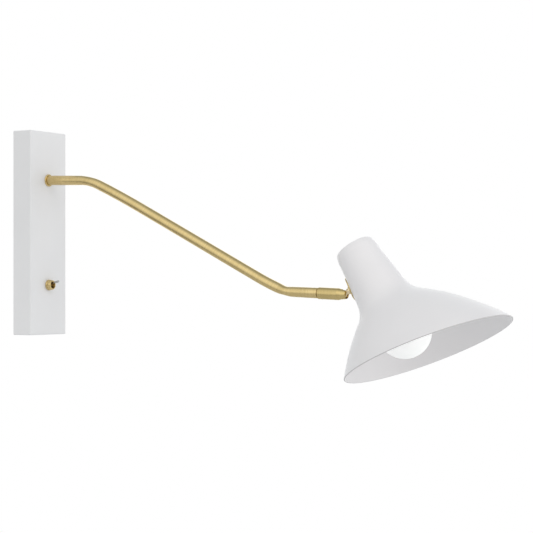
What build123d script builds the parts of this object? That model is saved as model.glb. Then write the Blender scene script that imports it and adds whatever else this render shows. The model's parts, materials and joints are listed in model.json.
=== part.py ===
from build123d import *
import math
import os

# Wall light: a box on the wall, a bent brass arm that turns in a collar on the
# box, a slotted ball knuckle at the arm's far end and a spun shade with an
# oblique mouth. Millimetres. X runs along the wall, +Y into the wall, +Z up.
# The origin is the centre of the box's back, where it meets the wall.

# ---------------------------------------------------------------- dimensions
BOX_W, BOX_D, BOX_H = 68.8, 27.6, 254.0
SHEET = 1.2                      # box sheet
BOX_EDGE = 1.4                   # outside edge radius of the folded box

SWING_Z = 66.15                  # height of the arm's swing axis
COLLAR_R, COLLAR_T = 7.6, 1.8    # visible flange of the collar
COLLAR_BARREL_R = 6.7
COLLAR_REAR = -19.0
TUBE_R, TUBE_BORE_R = 6.0, 5.0
TUBE_SEAT = -22.0                # where the tube bottoms in the collar
ARM_SET = 2.045                  # angles of the three straights below level
ARM_SLOPE = 26.731
ARM_END = 2.421
KNEE_1 = (-99.76, 63.73)         # where the straights' centre lines cross (y, z)
KNEE_2 = (-369.72, -72.36)
KNEE_1_R = (87.0, 1400.0, 0.884)  # each knee: first radius, second radius, the first one's share of the angle
KNEE_2_R = (400.0, 51.5, 0.2)

BALL_Y = -450.3
BALL_R = 4.5
STEM_UP = 27.4                   # the ball's stem above level
TURN0, SPIN0 = -3.763, 2.253     # how the head stands, turned and spun a little
TILT_MIN, TILT_MAX = -48.0, 55.0

SLEEVE_BACK, SLEEVE_NOSE = -31.2, 5.0
SLEEVE_R = 6.75

SHADE_TOP = (-462.54, -23.33)    # centre of the neck's closed end (y, z)
SHADE_TILT = 34.53               # shade axis from straight down, outwards
SHADE_T = 1.2                    # spun sheet
MOUTH_AT, MOUTH_CUT = 142.53, 11.16
SHADE_TS = [0, 4, 8, 12, 18, 24, 30, 36, 42, 48, 54, 60, 66, 70, 74, 78, 82, 86, 90, 95, 100, 105, 110, 116, 122,
            128, 134, 140, 146, 152, 158, 164, 170, 176]
SHADE_RS = [21.22, 23.08, 23.90, 24.23, 24.69, 25.31, 26.03, 26.81, 27.59, 28.32, 28.96, 29.63, 30.86, 32.25, 34.30,
            37.17, 40.98, 45.44, 49.97, 55.35, 60.43, 65.24, 69.79, 74.95, 79.85, 84.54, 89.08, 93.51, 97.75, 101.71,
            105.32, 108.50, 111.18, 113.44]

SWITCH_Z = -64.8
LEVER_UP = 15.0

os.makedirs("parts", exist_ok=True)
O = (0, 0, 0)
X = Vector(1, 0, 0)


def down(deg):
    # unit vector in the wall-square plane, out from the wall and deg below level
    return Vector(0, -1, 0).rotate(Axis(O, (1, 0, 0)), deg)


def front(y, x=0.0, z=0.0):
    # plane square to Y whose normal points out of the wall, local axes X and Z
    return Plane(origin=(x, y, z), x_dir=(1, 0, 0), z_dir=(0, -1, 0))


def save(piece, name):
    piece.label = name
    export_step(piece, "parts/" + name + ".step")


def arc_path_report(name, radii):
    print(name, "bend radii mm:", ", ".join("%.1f" % r for r in radii))


# ------------------------------------------------------------ derived frames
U = down(ARM_END)                                        # arm's end axis
B = Vector(0, BALL_Y, KNEE_2[1] + (BALL_Y - KNEE_2[0]) * U.Z / U.Y)
X1 = X.rotate(Axis(O, U), TURN0)                         # tilt axis
S1 = down(-STEM_UP).rotate(Axis(O, U), TURN0)            # stem axis


def head(v):
    return v.rotate(Axis(O, U), TURN0).rotate(Axis(O, S1), SPIN0)


A0 = down(90 - SHADE_TILT)
P_TOP = B + head(Vector(0, *SHADE_TOP) - B)
A1 = head(A0)                                            # shade axis, towards the mouth
XH = head(X)
E1 = XH.cross(A1)                                        # from the shade axis to the arm

KNUCKLE = Plane(origin=B, x_dir=U, z_dir=X1 * -1)        # local u, w (w = slot side, up)
STEM = Plane(origin=B, x_dir=S1, z_dir=X1 * -1)          # local s, p
HEAD = Plane(origin=P_TOP, x_dir=A1, z_dir=XH)           # local t, e
HEAD_AXIS = Axis(P_TOP, A1)
KNUCKLE_AXIS = Axis(B, U)
STEM_AXIS = Axis(B, S1)
SWING_AXIS = Axis((0, 0, SWING_Z), (0, -1, 0))


def across(axis_origin, direction, s, x_dir):
    return Plane(origin=axis_origin + direction * s, x_dir=x_dir, z_dir=direction)


def neck_radius(t):
    # straight interpolation is enough for fitting pieces inside the neck
    for i in range(len(SHADE_TS) - 1):
        if t <= SHADE_TS[i + 1]:
            f = (t - SHADE_TS[i]) / (SHADE_TS[i + 1] - SHADE_TS[i])
            return SHADE_RS[i] + f * (SHADE_RS[i + 1] - SHADE_RS[i])
    return SHADE_RS[-1]


# =============================================================== wall base
with BuildPart() as wall_box:
    with BuildSketch(front(0)):
        Rectangle(BOX_W, BOX_H)
    extrude(amount=BOX_D)
    back = wall_box.faces().sort_by(Axis.Y)[-1]
    fillet([e for e in wall_box.edges() if e.center().Y < -0.01], radius=BOX_EDGE)
    back = wall_box.faces().sort_by(Axis.Y)[-1]
    offset(amount=-SHEET, openings=back, kind=Kind.INTERSECTION)
    with BuildSketch(front(-BOX_D + 4)):                 # collar and switch holes
        with Locations((0, SWING_Z)):
            Circle(COLLAR_BARREL_R)
        with Locations((0, SWITCH_Z)):
            Circle(5.95)
    extrude(amount=8, mode=Mode.SUBTRACT)
    for end in (1, -1):                                  # dimpled holes for the cover screws
        with BuildSketch(Plane(origin=(0, -8, end * BOX_H / 2), x_dir=(1, 0, 0), z_dir=(0, 0, -end))):
            Circle(2.8)
        with BuildSketch(Plane(origin=(0, -8, end * (BOX_H / 2 - SHEET)), x_dir=(1, 0, 0), z_dir=(0, 0, -end))):
            Circle(1.6)
        loft(mode=Mode.SUBTRACT)
save(wall_box.part, "wall_box")

BRACKET_T, BRACKET_W = 1.6, 56.0
TAB_Z = BOX_H / 2 - SHEET - 0.2
with BuildPart() as mounting_bracket:
    with BuildSketch(front(0)):
        RectangleRounded(BRACKET_W, 2 * TAB_Z, 4)
        Circle(13, mode=Mode.SUBTRACT)                   # supply wires
        for z in (44.45, -44.45):                        # outlet-box slots, 88.9 apart
            with Locations((0, z)):
                SlotOverall(11, 4.6, rotation=90, mode=Mode.SUBTRACT)
        for z in (105, -105):                            # wall screws
            with Locations((17, z), (-17, z)):
                Circle(2.5, mode=Mode.SUBTRACT)
    extrude(amount=BRACKET_T)
    for end in (1, -1):                                  # folded tabs that carry the box
        with BuildSketch(Plane(origin=(0, 0, end * TAB_Z), x_dir=(1, 0, 0), z_dir=(0, 0, -end))):
            with Locations((0, end * 7.5)):
                Rectangle(20, 13)
        extrude(amount=BRACKET_T)
        with BuildSketch(Plane(origin=(0, -8, end * (TAB_Z + 1)), x_dir=(1, 0, 0), z_dir=(0, 0, -end))):
            Circle(1.5)
        extrude(amount=4, mode=Mode.SUBTRACT)
    with BuildSketch(front(1, 22, 36)):                  # tapped hole for the ground screw
        Circle(2.0)
    extrude(amount=4, mode=Mode.SUBTRACT)
save(mounting_bracket.part, "mounting_bracket")

with BuildPart() as cover_screws:
    for end in (1, -1):
        zt = end * BOX_H / 2
        with BuildSketch(Plane(origin=(0, -8, zt), x_dir=(1, 0, 0), z_dir=(0, 0, -end))):
            Circle(2.7)
        with BuildSketch(Plane(origin=(0, -8, zt - end * SHEET), x_dir=(1, 0, 0), z_dir=(0, 0, -end))):
            Circle(1.5)
        loft()
        with BuildSketch(Plane(origin=(0, -8, zt - end * 0.6), x_dir=(1, 0, 0), z_dir=(0, 0, -end))):
            Circle(1.5)
        extrude(amount=7)
        with BuildSketch(Plane(origin=(0, -8, zt + end * 0.01), x_dir=(1, 0, 0), z_dir=(0, 0, -end))):
            Rectangle(3.2, 0.7)                          # cross recess
            Rectangle(0.7, 3.2)
        extrude(amount=1.1, taper=12, mode=Mode.SUBTRACT)
save(cover_screws.part, "cover_screws")

with BuildPart() as ground_screw:
    with BuildSketch(front(-BRACKET_T, 22, 36)):
        Circle(4.6)
    extrude(amount=0.9)
    with BuildSketch(front(-BRACKET_T - 0.9, 22, 36)):
        RegularPolygon(3.6, 6)
    extrude(amount=2.2)
    with BuildSketch(front(-0.2, 22, 36)):
        Circle(2.0)
    extrude(amount=BRACKET_T)
    with BuildSketch(front(-BRACKET_T - 2.1, 22, 36)):
        Rectangle(7.5, 0.9)
    extrude(amount=1.2, mode=Mode.SUBTRACT)
save(ground_screw.part, "ground_screw")

FRONT_IN = -BOX_D + SHEET                                # inside of the box's front
PLATE_T = 1.5
with BuildPart() as arm_support_plate:                   # stiffens the front behind the collar
    with BuildSketch(front(FRONT_IN + PLATE_T, 0, SWING_Z)):
        RectangleRounded(58, 46, 3)
        Circle(COLLAR_BARREL_R, mode=Mode.SUBTRACT)
        with Locations((0, 11.5)):
            Circle(1.5, mode=Mode.SUBTRACT)
    extrude(amount=PLATE_T)
save(arm_support_plate.part, "arm_support_plate")

STOP_R = 11.5                                            # stop pin above the swing axis
with BuildPart() as arm_stop_pin:
    with BuildSketch(front(-14.9, 0, SWING_Z + STOP_R)):
        Circle(1.5)
    extrude(amount=-14.9 - FRONT_IN)
    chamfer(arm_stop_pin.faces().sort_by(Axis.Y)[-1].edges(), length=0.4)
save(arm_stop_pin.part, "arm_stop_pin")

with BuildPart() as swivel_collar:                       # flanged bush the arm turns in
    with BuildSketch(Plane(origin=(0, 0, SWING_Z), x_dir=(0, -1, 0), z_dir=(-1, 0, 0))):
        with BuildLine():
            Polyline((-COLLAR_REAR, 5.05), (-TUBE_SEAT, 5.05), (-TUBE_SEAT, 6.05),
                     (BOX_D + COLLAR_T, 6.05), (BOX_D + COLLAR_T, COLLAR_R),
                     (BOX_D, COLLAR_R), (BOX_D, COLLAR_BARREL_R),
                     (-COLLAR_REAR, COLLAR_BARREL_R), close=True)
        make_face()
    revolve(axis=SWING_AXIS)
    fillet(swivel_collar.edges().filter_by(GeomType.CIRCLE).group_by(Axis.Y)[0].sort_by(SortBy.RADIUS)[-1], radius=0.7)
save(swivel_collar.part, "swivel_collar")

with BuildPart() as collar_nut:
    with BuildSketch(front(FRONT_IN + PLATE_T + 3.0, 0, SWING_Z)):
        RegularPolygon(8.5, 6, major_radius=False, rotation=30)
        Circle(COLLAR_BARREL_R, mode=Mode.SUBTRACT)
    extrude(amount=3.0)
    chamfer(collar_nut.faces().sort_by(Axis.Y)[-1].edges().filter_by(GeomType.CIRCLE), length=0.4)
save(collar_nut.part, "collar_nut")

TB_Z, TB_Y = 0.0, -BRACKET_T                             # terminal block on the bracket
with BuildPart() as terminal_block:
    with BuildSketch(front(TB_Y, 0, 24)):
        RectangleRounded(33, 15, 1)
    extrude(amount=11)
    for x in (-11, 0, 11):
        with BuildSketch(front(TB_Y - 11.5, x, 24)):     # screw wells
            Circle(2.3)
        extrude(amount=-4.6, mode=Mode.SUBTRACT)
        with BuildSketch(Plane(origin=(x, TB_Y - 4.2, 24 - 9), x_dir=(1, 0, 0), z_dir=(0, 0, 1))):
            Circle(1.7)                                  # wire ways
        extrude(amount=18, mode=Mode.SUBTRACT)
    for x in (-5.5, 5.5):                                # notches between the poles
        with BuildSketch(front(TB_Y - 11, x, 24)):
            Rectangle(1.4, 16)
        extrude(amount=-2.5, mode=Mode.SUBTRACT)
save(terminal_block.part, "terminal_block")

with BuildPart() as terminal_screws:
    for x in (-11, 0, 11):
        with BuildSketch(front(TB_Y - 7.0, x, 24)):
            Circle(2.1)
        extrude(amount=2.6)
        with BuildSketch(front(TB_Y - 9.0, x, 24)):
            Rectangle(5, 0.7)
        extrude(amount=1.0, mode=Mode.SUBTRACT)
save(terminal_screws.part, "terminal_screws")

# ------------------------------------------------------------- toggle switch
with BuildPart() as switch_body:
    with BuildSketch(front(FRONT_IN + 16.0, 0, SWITCH_Z)):
        RectangleRounded(17, 28, 1.2)
    extrude(amount=15.98)
    with BuildSketch(front(FRONT_IN + 3.0, 0, SWITCH_Z)):
        Circle(3.4)
    extrude(amount=4, mode=Mode.SUBTRACT)
save(switch_body.part, "switch_body")

with BuildPart() as switch_terminals:                    # two blades on the switch's back
    for z in (8, -8):
        with BuildSketch(front(FRONT_IN + 22.5, 0, SWITCH_Z + z)):
            Rectangle(6.3, 0.8)
        extrude(amount=6.5)
save(switch_terminals.part, "switch_terminals")

with BuildPart() as switch_bushing:                      # threaded barrel through the box
    with BuildSketch(front(FRONT_IN, 0, SWITCH_Z)):
        Circle(5.2)
    extrude(amount=BOX_D + 7.4 + FRONT_IN)
    with BuildSketch(front(FRONT_IN + 1, 0, SWITCH_Z)):
        Circle(3.2)
    with BuildSketch(front(-BOX_D - 7.6, 0, SWITCH_Z)):
        Circle(4.3)
    loft(mode=Mode.SUBTRACT)
save(switch_bushing.part, "switch_bushing")

with BuildPart() as switch_nut:                          # thin round nut against the box
    with BuildSketch(Plane(origin=(0, 0, SWITCH_Z), x_dir=(0, -1, 0), z_dir=(-1, 0, 0))):
        with BuildLine():
            Line((BOX_D, 5.2), (BOX_D, 6.3))
            ThreePointArc((BOX_D, 6.3), (BOX_D + 1.2, 6.75), (BOX_D + 2.4, 6.2))
            Line((BOX_D + 2.4, 6.2), (BOX_D + 2.4, 5.2))
            Line((BOX_D + 2.4, 5.2), (BOX_D, 5.2))
        make_face()
    revolve(axis=Axis((0, 0, SWITCH_Z), (0, -1, 0)))
save(switch_nut.part, "switch_nut")

with BuildPart() as switch_dress_nut:                    # tapered dress nut with a knurled band
    with BuildSketch(Plane(origin=(0, 0, SWITCH_Z), x_dir=(0, -1, 0), z_dir=(-1, 0, 0))):
        with BuildLine():
            Polyline((BOX_D + 2.4, 5.2), (BOX_D + 2.4, 6.0), (BOX_D + 2.9, 6.3), (BOX_D + 4.4, 6.3),
                     (BOX_D + 7.0, 5.65), (BOX_D + 7.2, 5.4), (BOX_D + 7.2, 5.2), close=True)
        make_face()
    revolve(axis=Axis((0, 0, SWITCH_Z), (0, -1, 0)))
save(switch_dress_nut.part, "switch_dress_nut")

LEVER_PIVOT = Vector(0, FRONT_IN + 0.2, SWITCH_Z)
L1 = down(-LEVER_UP)
with BuildPart() as switch_lever:                        # bat lever, up
    with BuildSketch(Plane(origin=LEVER_PIVOT, x_dir=L1, z_dir=(-1, 0, 0))):
        with BuildLine():
            Line((-2.0, 0), (-2.0, 0.9))
            Line((-2.0, 0.9), (-1.6, 2.0))
            ThreePointArc((-1.6, 2.0), (0, 2.56), (1.6, 2.0))
            Line((1.6, 2.0), (2.6, 1.05))
            Line((2.6, 1.05), (9.5, 1.15))
            Line((9.5, 1.15), (17.2, 1.55))
            ThreePointArc((17.2, 1.55), (18.3, 1.2), (18.8, 0.5))
            Polyline((18.8, 0.5), (18.8, 0), (-2.0, 0))
        make_face()
    revolve(axis=Axis(LEVER_PIVOT, L1))
save(switch_lever.part, "switch_lever")


# ------------------------------------------------------------ wires in the box
TW = TB_Y - 4.2                                          # depth of the wire ways
SWITCH_LEAD_RADII = [9, 14, 14, 3.5]
arc_path_report("switch leads", SWITCH_LEAD_RADII)

with BuildPart() as switch_lead_in:
    with BuildLine() as p1:
        FilletPolyline((-11, TW, 17.5), (-11, TW, 4), (-19, -12, -14), (-19, -12, -38), (-12, -4.4, -56.8), (-3.3, -4.4, -56.8),
                       radius=SWITCH_LEAD_RADII)
    with BuildSketch(Plane(origin=(-11, TW, 17.5), x_dir=(1, 0, 0), z_dir=(0, 0, -1))):
        Circle(1.1)
    sweep(path=p1.wires()[0])
save(switch_lead_in.part, "switch_lead_in")

with BuildPart() as switch_lead_out:
    with BuildLine() as p2:
        FilletPolyline((0, TW, 17.5), (0, TW, 4), (18, -12, -14), (19, -12, -52), (12, -4.4, -72.8), (3.3, -4.4, -72.8),
                       radius=SWITCH_LEAD_RADII)
    with BuildSketch(Plane(origin=(0, TW, 17.5), x_dir=(1, 0, 0), z_dir=(0, 0, -1))):
        Circle(1.1)
    sweep(path=p2.wires()[0])
save(switch_lead_out.part, "switch_lead_out")

with BuildPart() as ground_lead:                         # from the ground screw to the support plate
    with BuildLine() as p3:
        FilletPolyline((22, -2.7, 41), (22, -2.7, 49), (22, -23.8, 66), (22, -23.8, 80), radius=[7, 7])
    with BuildSketch(Plane(origin=(22, -2.7, 41), x_dir=(1, 0, 0), z_dir=(0, 0, 1))):
        Circle(1.0)
    sweep(path=p3.wires()[0])
save(ground_lead.part, "ground_lead")

with BuildPart() as box_lead:                            # terminal block to the arm's hollow root
    with BuildLine() as p4:
        FilletPolyline((11, TW, 30.5), (11, TW, 44), (0, -3.2, 56), (0, -3.2, SWING_Z + 0.0),
                       radius=[9, 7])
    with BuildSketch(Plane(origin=(11, TW, 30.5), x_dir=(1, 0, 0), z_dir=(0, 0, 1))):
        Circle(1.4)
    sweep(path=p4.wires()[0])
save(box_lead.part, "box_lead")

# ===================================================================== arm
tube_end = B + U * (SLEEVE_BACK - 0.9)


def knee(before, at, after, shape):
    # the two corners that stand for a knee whose bend eases from one radius into another
    r1, r2, share = shape
    k = Vector(*at)
    din, dout = (k - Vector(*before)).normalized(), (Vector(*after) - k).normalized()
    a = math.acos(din.dot(dout))
    a1, a2 = a * share, a * (1 - share)
    span = r1 * math.tan(a1 / 2) + r2 * math.tan(a2 / 2)
    return tuple(k - din * (span * math.sin(a2) / math.sin(a))), tuple(k + dout * (span * math.sin(a1) / math.sin(a)))


arm_start = (0, -32.0, SWING_Z)
k1a, k1b = knee(arm_start, (0, *KNEE_1), (0, *KNEE_2), KNEE_1_R)
k2a, k2b = knee((0, *KNEE_1), (0, *KNEE_2), tuple(tube_end), KNEE_2_R)
arm_corners = [arm_start, k1a, k1b, k2a, k2b]
arm_pts = [(0, TUBE_SEAT, SWING_Z)] + arm_corners + [tuple(tube_end)]
EASE = 0.985                                             # leaves a short straight between the two radii
arm_radii = [60, KNEE_1_R[0] * EASE, KNEE_1_R[1] * EASE, KNEE_2_R[0] * EASE, KNEE_2_R[1] * EASE]
arc_path_report("arm_tube", arm_radii)
with BuildPart() as arm_tube:
    with BuildLine() as arm_path:
        FilletPolyline(*arm_pts, radius=arm_radii)
    with BuildSketch(front(TUBE_SEAT, 0, SWING_Z)):
        Circle(TUBE_R)
        Circle(TUBE_BORE_R, mode=Mode.SUBTRACT)
    sweep(path=arm_path.wires()[0])
save(arm_tube.part, "arm_tube")

with BuildPart() as arm_spigot:                          # hollow threaded root, fixed in the tube
    with BuildSketch(front(-6.0, 0, SWING_Z)):
        Circle(TUBE_BORE_R)
        Circle(3.3, mode=Mode.SUBTRACT)
    extrude(amount=24.0)
    chamfer(arm_spigot.faces().sort_by(Axis.Y)[-1].edges().sort_by(SortBy.RADIUS)[-1], length=0.5)
save(arm_spigot.part, "arm_spigot")

with BuildPart() as friction_washer:
    with BuildSketch(front(-17.95, 0, SWING_Z)):
        Circle(8.6)
        Circle(TUBE_BORE_R + 0.1, mode=Mode.SUBTRACT)
    extrude(amount=1.0)
save(friction_washer.part, "friction_washer")

with BuildPart() as spring_washer:                       # dished washer that sets the arm's drag
    with BuildSketch(Plane(origin=(0, 0, SWING_Z), x_dir=(0, -1, 0), z_dir=(-1, 0, 0))):
        with BuildLine():
            Polyline((17.1, TUBE_BORE_R + 0.1), (17.9, 8.0), (17.5, 8.15), (16.75, TUBE_BORE_R + 0.25), close=True)
        make_face()
    revolve(axis=SWING_AXIS)
save(spring_washer.part, "spring_washer")

with BuildPart() as stop_washer:                         # its tab meets the stop pin
    with BuildSketch(front(-15.25, 0, SWING_Z)):
        Circle(8.6)
        with Locations((0, -9.0)):
            Rectangle(5, 8)
        Circle(TUBE_BORE_R, mode=Mode.SUBTRACT)
    extrude(amount=1.45)
save(stop_washer.part, "stop_washer")

with BuildPart() as arm_locknuts:
    for y0, h in ((-10.85, 4.35), (-7.3, 3.4)):
        with BuildSketch(front(y0, 0, SWING_Z)):
            RegularPolygon(7.0, 6, major_radius=False)
            Circle(TUBE_BORE_R, mode=Mode.SUBTRACT)
        extrude(amount=h)
save(arm_locknuts.part, "arm_locknuts")

NIP_GROOVE = (-26.9, -24.5)
with BuildPart() as knuckle_nipple:                      # far-end fitting the sleeve turns on
    with BuildSketch(KNUCKLE):
        with BuildLine():
            Polyline((-42.0, 3.2), (-42.0, TUBE_BORE_R), (SLEEVE_BACK - 0.1, TUBE_BORE_R), (SLEEVE_BACK - 0.1, 4.95),
                     (NIP_GROOVE[0], 4.95), (NIP_GROOVE[0], 4.1), (NIP_GROOVE[1], 4.1), (NIP_GROOVE[1], 4.95),
                     (-19.0, 4.95), (-18.6, 4.55), (-18.6, 3.2), close=True)
        make_face()
    revolve(axis=KNUCKLE_AXIS)
    with BuildSketch(Plane(origin=B + U * NIP_GROOVE[0], x_dir=X1, z_dir=U)):
        with Locations((0, 4.35)):                       # rib that ends the groove, opposite the grub screw
            Rectangle(1.2, 0.9)
    extrude(amount=NIP_GROOVE[1] - NIP_GROOVE[0])
save(knuckle_nipple.part, "knuckle_nipple")

LEAD_R = 1.5
lead_end = B + U * -7.5
with BuildPart() as arm_lead:                            # two-core lead through the arm
    with BuildLine() as lead_path:
        FilletPolyline((0, -5.4, SWING_Z), *arm_corners, tuple(lead_end), radius=arm_radii)
    with BuildSketch(front(-5.4, 0, SWING_Z)):
        Circle(LEAD_R)
    sweep(path=lead_path.wires()[0])
save(arm_lead.part, "arm_lead")

# ================================================================= knuckle
with BuildPart() as knuckle_sleeve:
    with BuildSketch(KNUCKLE):
        with BuildLine():
            Line((SLEEVE_BACK, 5.0), (SLEEVE_BACK, 6.35))
            Line((SLEEVE_BACK, 6.35), (SLEEVE_BACK + 0.4, SLEEVE_R))
            Line((SLEEVE_BACK + 0.4, SLEEVE_R), (-5.9, SLEEVE_R))
            Line((-5.9, SLEEVE_R), (-2.0, 5.85))
            Line((-2.0, 5.85), (3.3, 5.2))
            ThreePointArc((3.3, 5.2), (4.55, 4.45), (SLEEVE_NOSE, 3.0))
            Line((SLEEVE_NOSE, 3.0), (3.5, 2.98))
            ThreePointArc((3.5, 2.98), (2.35, 3.937), (0, 4.55))
            Line((0, 4.55), (-12.0, 4.55))
            Line((-12.0, 4.55), (-12.0, 5.0))
            Line((-12.0, 5.0), (SLEEVE_BACK, 5.0))
        make_face()
    revolve(axis=KNUCKLE_AXIS)
    # slot that lets the stem go from a little below the arm's line to square above it
    with BuildSketch(Plane(origin=B + X1 * 2.8, x_dir=U, z_dir=X1 * -1)):
        lo = Vector(14, 0).rotate(Axis.Z, -20.0)
        hi = Vector(14, 0).rotate(Axis.Z, 86.0)
        lo_n = Vector(0, -2.8).rotate(Axis.Z, -20.0)
        hi_n = Vector(0, 2.8).rotate(Axis.Z, 86.0)
        with BuildLine():
            Polyline((0, 0), (lo_n.X, lo_n.Y), (lo_n.X + lo.X, lo_n.Y + lo.Y), (16, 16),
                     (hi_n.X + hi.X, hi_n.Y + hi.Y), (hi_n.X, hi_n.Y), close=True)
        make_face()
    extrude(amount=5.6, mode=Mode.SUBTRACT)
    with BuildSketch(Plane(origin=B + U * -25.7, x_dir=U, z_dir=X1.cross(U))):
        Circle(1.5)                                      # tapped hole for the grub screw, below
    extrude(amount=9, mode=Mode.SUBTRACT)
save(knuckle_sleeve.part, "knuckle_sleeve")

DOWN1 = X1.cross(U)                                      # square to the arm's end, downwards
with BuildPart() as sleeve_grub_screw:
    with BuildSketch(Plane(origin=B + U * -25.7 + DOWN1 * 5.05, x_dir=U, z_dir=DOWN1)):
        Circle(1.5)
    extrude(amount=1.55)
    with BuildSketch(Plane(origin=B + U * -25.7 + DOWN1 * 4.35, x_dir=U, z_dir=DOWN1)):
        Circle(0.95)
    extrude(amount=0.8)
    with BuildSketch(Plane(origin=B + U * -25.7 + DOWN1 * 6.61, x_dir=U, z_dir=DOWN1 * -1)):
        RegularPolygon(0.8, 6)
    extrude(amount=1.1, mode=Mode.SUBTRACT)
save(sleeve_grub_screw.part, "sleeve_grub_screw")

with BuildPart() as knuckle_spring:                      # presses the seat on the ball
    with BuildLine() as coil:
        Helix(pitch=1.8, height=7.2, radius=3.9, center=B + U * -18.05, direction=U)
    with BuildSketch(Plane(origin=coil.line @ 0, z_dir=coil.line % 0)):
        Circle(0.45)
    sweep(path=coil.wires()[0], is_frenet=True)
save(knuckle_spring.part, "knuckle_spring")

with BuildPart() as ball_seat:
    with BuildSketch(KNUCKLE):
        with BuildLine():
            Line((-10.2, 2.6), (-10.2, 4.5))
            Line((-10.2, 4.5), (-2.4, 4.5))
            Line((-2.4, 4.5), (-2.4, 3.869))
            ThreePointArc((-2.4, 3.869), (-3.1, 3.335), (-3.735, 2.6))
            Line((-3.735, 2.6), (-10.2, 2.6))
        make_face()
    revolve(axis=KNUCKLE_AXIS)
save(ball_seat.part, "ball_seat")

# ==================================================================== ball
with BuildPart() as swivel_ball:
    Sphere(BALL_R, mode=Mode.PRIVATE)
    with BuildSketch(STEM):
        with BuildLine():
            ThreePointArc((-BALL_R, 0), (0, BALL_R), (BALL_R, 0))
            Line((BALL_R, 0), (-BALL_R, 0))
        make_face()
    revolve(axis=STEM_AXIS)
    with BuildSketch(across(B, S1, -6, X1)):
        Circle(2.55)
    extrude(amount=12, mode=Mode.SUBTRACT)
save(swivel_ball.part, "swivel_ball")

# ==================================================================== head
profile = Edge.make_spline([Vector(t, r) for t, r in zip(SHADE_TS, SHADE_RS)])
N = 60
outer_pts, inner_pts = [], []
for i in range(N + 1):
    p, tg = profile.position_at(i / N), profile.tangent_at(i / N)
    outer_pts.append((p.X, p.Y))
    inner_pts.append((p.X + tg.Y * SHADE_T, p.Y - tg.X * SHADE_T))   # square to the sheet, inwards
outer_pts = [q for q in outer_pts if q[0] > 3.0]
inner_pts = [q for q in inner_pts if q[0] > 3.0]
with BuildPart() as shade:
    with BuildSketch(HEAD):
        with BuildLine():
            Polyline((SHADE_T, 0), (0, 0), (0, 20.2))
            ThreePointArc((0, 20.2), (0.55, 21.45), (1.9, 22.2))
            Spline(*([(1.9, 22.2)] + outer_pts))
            Line(outer_pts[-1], inner_pts[-1])
            Spline(*inner_pts)
            i0 = inner_pts[0]
            ThreePointArc(i0, (SHADE_T + 0.55, i0[1] - 1.0), (SHADE_T, 19.3))
            Line((SHADE_T, 19.3), (SHADE_T, 0))
        make_face()
    revolve(axis=HEAD_AXIS)
    split(bisect_by=Plane(origin=P_TOP + A1 * MOUTH_AT, z_dir=A1.rotate(Axis(O, XH), MOUTH_CUT)), keep=Keep.BOTTOM)
    # hole for the ball stem
    with BuildSketch(across(B, S1, 8.0, X1)):
        Circle(4.05)
    extrude(amount=12, mode=Mode.SUBTRACT)
save(shade.part, "shade")

NECK_S = 12.85                                           # ball centre to neck surface along the stem
with BuildPart() as ball_stem:
    with BuildSketch(STEM):
        with BuildLine():
            Polyline((-2.9, 1.7), (-2.9, 2.1), (-2.5, 2.5), (6.1, 2.5), (6.6, 3.75), (9.5, 3.75), (9.5, 5.1),
                     (9.8, 5.3), (11.3, 5.3), (11.3, 4.0), (19.2, 4.0), (19.6, 3.6), (19.6, 1.7), close=True)
        make_face()
    revolve(axis=STEM_AXIS)
save(ball_stem.part, "ball_stem")

SADDLE_R, SADDLE_T = 14.6, 1.3
with BuildPart() as saddle_plate:                        # round plate bent to the neck
    with BuildSketch(across(B, S1, 5.0, X1)):
        Circle(SADDLE_R)
        Circle(4.05, mode=Mode.SUBTRACT)
    extrude(amount=16)
    skin = [(t, neck_radius(t) + 0.06) for t in range(12, 73, 4)]
    with BuildSketch(HEAD):                              # keep only the skin next to the neck
        with BuildLine():
            Polyline(*skin, *[(t, r + SADDLE_T) for t, r in reversed(skin)], close=True)
        make_face()
    revolve(axis=HEAD_AXIS, mode=Mode.INTERSECT)
save(saddle_plate.part, "saddle_plate")

# lamp holder in the neck. The upright of its bracket stands square to the stem.
HB_T = 1.2
FOOT_T = 19.8                                            # back of the bracket's foot along the shade axis
S_IN_T, S_IN_E = S1.dot(A1), S1.dot(E1)                  # stem direction in t, e
B_T, B_E = (B - P_TOP).dot(A1), (B - P_TOP).dot(E1)


def on_stem(s, p):
    # point s along the stem and p across it, towards the neck's closed end, as (t, e)
    return (B_T + s * S_IN_T + p * S_IN_E, B_E + s * S_IN_E - p * S_IN_T)


def strip_e(s, t):
    # e of the plane square to the stem at s, at height t
    t0, e0 = on_stem(s, 0)
    return e0 + (t - t0) * (S_IN_T / -S_IN_E)


WALL_IN = 15.4                                           # upright's outer face, along the stem
with BuildPart() as holder_bracket:
    with BuildSketch(HEAD):
        with BuildLine():
            Polyline((FOOT_T, -9.5), (FOOT_T, strip_e(WALL_IN, FOOT_T)), (48.0, strip_e(WALL_IN, 48.0)),
                     (48.0, strip_e(WALL_IN + HB_T, 48.0)), (FOOT_T + HB_T, strip_e(WALL_IN + HB_T, FOOT_T + HB_T)),
                     (FOOT_T + HB_T, -9.5), close=True)
        make_face()
    extrude(amount=6.5, both=True)
    with BuildSketch(across(B, S1, 14.0, X1)):
        Circle(4.1)
    extrude(amount=4, mode=Mode.SUBTRACT)
    with BuildSketch(across(P_TOP, A1, 15, XH)):
        Circle(5.0)
    extrude(amount=8, mode=Mode.SUBTRACT)
save(holder_bracket.part, "holder_bracket")

with BuildPart() as stem_spacer:                         # between the neck's curve and the flat upright
    with BuildSketch(across(B, S1, 14.8, X1)):
        Circle(6.0)
        Circle(4.1, mode=Mode.SUBTRACT)
    extrude(amount=WALL_IN - 14.8)
save(stem_spacer.part, "stem_spacer")

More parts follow.
